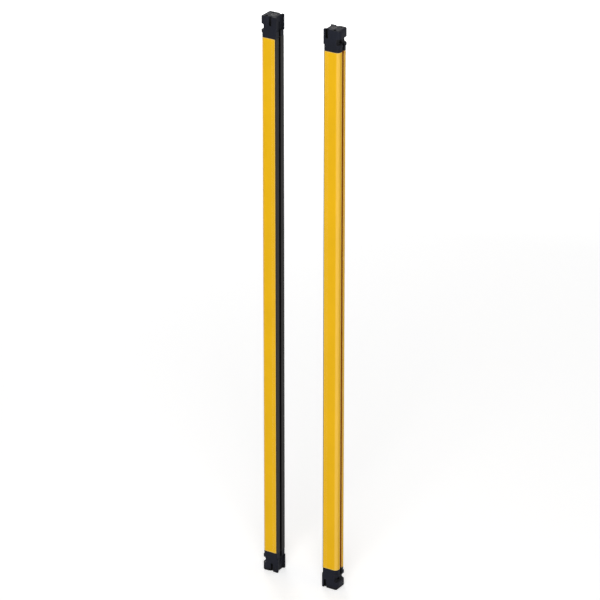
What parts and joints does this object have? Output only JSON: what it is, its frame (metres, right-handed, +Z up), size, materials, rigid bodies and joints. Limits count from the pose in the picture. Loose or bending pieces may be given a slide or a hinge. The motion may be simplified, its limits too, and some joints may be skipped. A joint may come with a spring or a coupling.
{
  "type": "safety light curtain",
  "caption": "Slim safety light curtain pair: emitter and receiver bars in painted aluminium channels with dark optical fronts and hooked die-cast end caps.",
  "frame": {"origin": "on the floor plane under the two bars, midway between them", "axes": "+X from the emitter to the receiver, along the beams; +Z up along the bars; -Y is the side seen first"},
  "size_m": [0.161, 0.028, 1.08],
  "materials": {
    "yellow_paint": "satin",
    "black_case": "satin",
    "dark_window": "gloss",
    "clear_lens": "gloss",
    "circuit_board": "satin",
    "component": "satin",
    "lamp": "gloss",
    "cap_paint": "satin",
    "gasket_rubber": "matte",
    "screw_steel": "satin",
    "contact_metal": "polished",
    "lead_sheath": "matte"
  },
  "bodies": {
    "root": {"emitter_enclosure": "yellow_paint", "emitter_inner_case": "black_case", "emitter_front_window": "dark_window", "emitter_lens_strip": "clear_lens", "emitter_optics_holder": "black_case", "emitter_beam_board": "circuit_board", "emitter_leds": "component", "emitter_control_board": "circuit_board", "emitter_control_chips": "component", "emitter_board_link": "component", "emitter_indicator_lights": "lamp", "emitter_top_cap": "cap_paint", "emitter_bottom_cap": "cap_paint", "emitter_top_gasket": "gasket_rubber", "emitter_bottom_gasket": "gasket_rubber", "emitter_top_cap_screws": "screw_steel", "emitter_bottom_cap_screws": "screw_steel", "emitter_series_port_cover": "black_case", "emitter_connector_insert": "component", "emitter_connector_contacts": "contact_metal", "emitter_connector_lead": "lead_sheath", "receiver_enclosure": "yellow_paint", "receiver_inner_case": "black_case", "receiver_front_window": "dark_window", "receiver_lens_strip": "clear_lens", "receiver_optics_holder": "black_case", "receiver_beam_board": "circuit_board", "receiver_photodiodes": "component", "receiver_control_board": "circuit_board", "receiver_control_chips": "component", "receiver_board_link": "component", "receiver_indicator_lights": "lamp", "receiver_top_cap": "cap_paint", "receiver_bottom_cap": "cap_paint", "receiver_top_gasket": "gasket_rubber", "receiver_bottom_gasket": "gasket_rubber", "receiver_top_cap_screws": "screw_steel", "receiver_bottom_cap_screws": "screw_steel", "receiver_series_port_cover": "black_case", "receiver_connector_insert": "component", "receiver_connector_contacts": "contact_metal", "receiver_connector_lead": "lead_sheath"}
  },
  "joints": []
}
